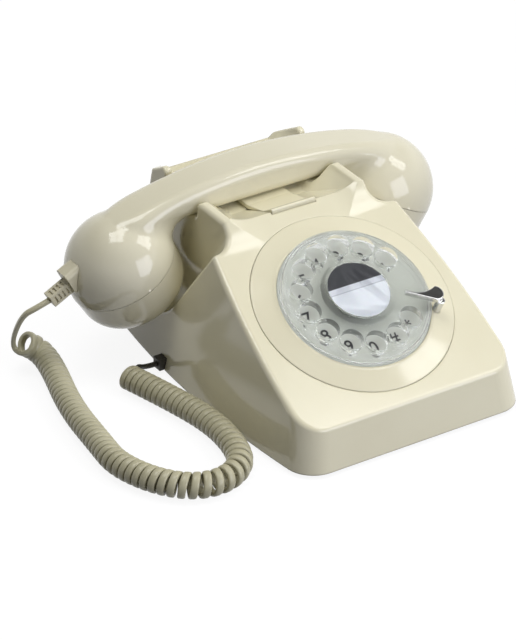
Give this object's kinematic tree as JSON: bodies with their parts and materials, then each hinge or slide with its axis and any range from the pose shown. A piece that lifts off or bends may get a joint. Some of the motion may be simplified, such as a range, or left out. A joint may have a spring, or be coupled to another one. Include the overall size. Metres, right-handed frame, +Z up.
{
  "type": "rotary telephone",
  "caption": "Desk telephone with a sloped face, a clear rotary finger wheel, a handset lying across a horned cradle and a curly handset cord",
  "frame": {"origin": "under the middle of the telephone, cord left out, on the surface that it stands on", "axes": "+X right seen from the front, +Y to the rear, +Z up"},
  "size_m": [0.2722, 0.21, 0.1021],
  "materials": {
    "ivory_plastic": "glossy ivory moulding",
    "clear_plastic": "clear moulded plastic",
    "grey_plastic": "printed grey plate",
    "chrome": "polished",
    "steel": "plain sheet",
    "brass": "turned",
    "rubber": "black rubber",
    "cord_plastic": "cream cord jacket",
    "paper": "printed card",
    "board": "circuit board",
    "dark_plastic": "black moulding"
  },
  "bodies": {
    "base": {"upper_case": "ivory_plastic", "base_plate": "steel", "rubber_feet": "rubber", "case_screws": "steel", "line_socket": "dark_plastic", "cord_grommet": "rubber", "dial_surround": "ivory_plastic", "number_plate": "grey_plastic", "finger_stop": "chrome", "dial_frame": "steel", "pulse_contacts": "dark_plastic", "hook_spring": "steel", "hook_switch": "dark_plastic", "circuit_board": "board", "board_components": "dark_plastic", "bell_gong_left": "brass", "bell_gong_right": "brass", "bell_screws": "steel", "ringer_yoke": "steel", "ringer_coil": "dark_plastic", "clapper_pin": "steel", "cord_lead": "cord_plastic", "cord_curl": "cord_plastic", "cord_tail": "cord_plastic"},
    "handset": {"handset_shell": "ivory_plastic", "ear_cap": "ivory_plastic", "mouth_cap": "ivory_plastic", "receiver_capsule": "dark_plastic", "microphone_capsule": "dark_plastic", "handset_cord_relief": "cord_plastic"},
    "dial": {"finger_wheel": "clear_plastic", "dial_label": "paper", "label_window": "clear_plastic", "dial_shaft": "steel", "dial_gear": "brass", "spring_drum": "steel"},
    "pulse": {"pulse_spindle": "brass"},
    "hook": {"hook_bar": "ivory_plastic"},
    "clapper": {"clapper": "brass"}
  },
  "joints": [
    {"name": "handset_lift", "type": "slide", "parent": "base", "child": "handset", "axis": [0, 0, 1], "range_m": [0, 0.12], "deforming": ["cord_lead", "cord_curl"]},
    {"name": "hook_rise", "type": "slide", "parent": "base", "child": "hook", "axis": [0, 0, 1], "range_m": [0, 0.0048], "deforming": ["hook_spring"]},
    {"name": "dial_turn", "type": "hinge", "parent": "base", "child": "dial", "pos_m": [0, -0.04121, 0.05708], "axis": [0, 0.4715, -0.8819], "range_deg": [0, 325], "stiffness_Nm_per_rad": 0.01, "springref_deg": -34.38},
    {"name": "pulse_spin", "type": "hinge", "parent": "base", "child": "pulse", "pos_m": [-0.03188, -0.04308, 0.04247], "axis": [0, 0.4715, -0.8819], "range_deg": [-1300, 0]},
    {"name": "clapper_swing", "type": "hinge", "parent": "base", "child": "clapper", "pos_m": [0, 0.014, 0.034], "axis": [0, 0, 1], "range_deg": [-3.5, 3.5]}
  ],
  "couplings": [
    {"joint": "hook_rise", "follows": "handset_lift", "ratio": 0.04},
    {"joint": "pulse_spin", "follows": "dial_turn", "ratio": -4}
  ]
}
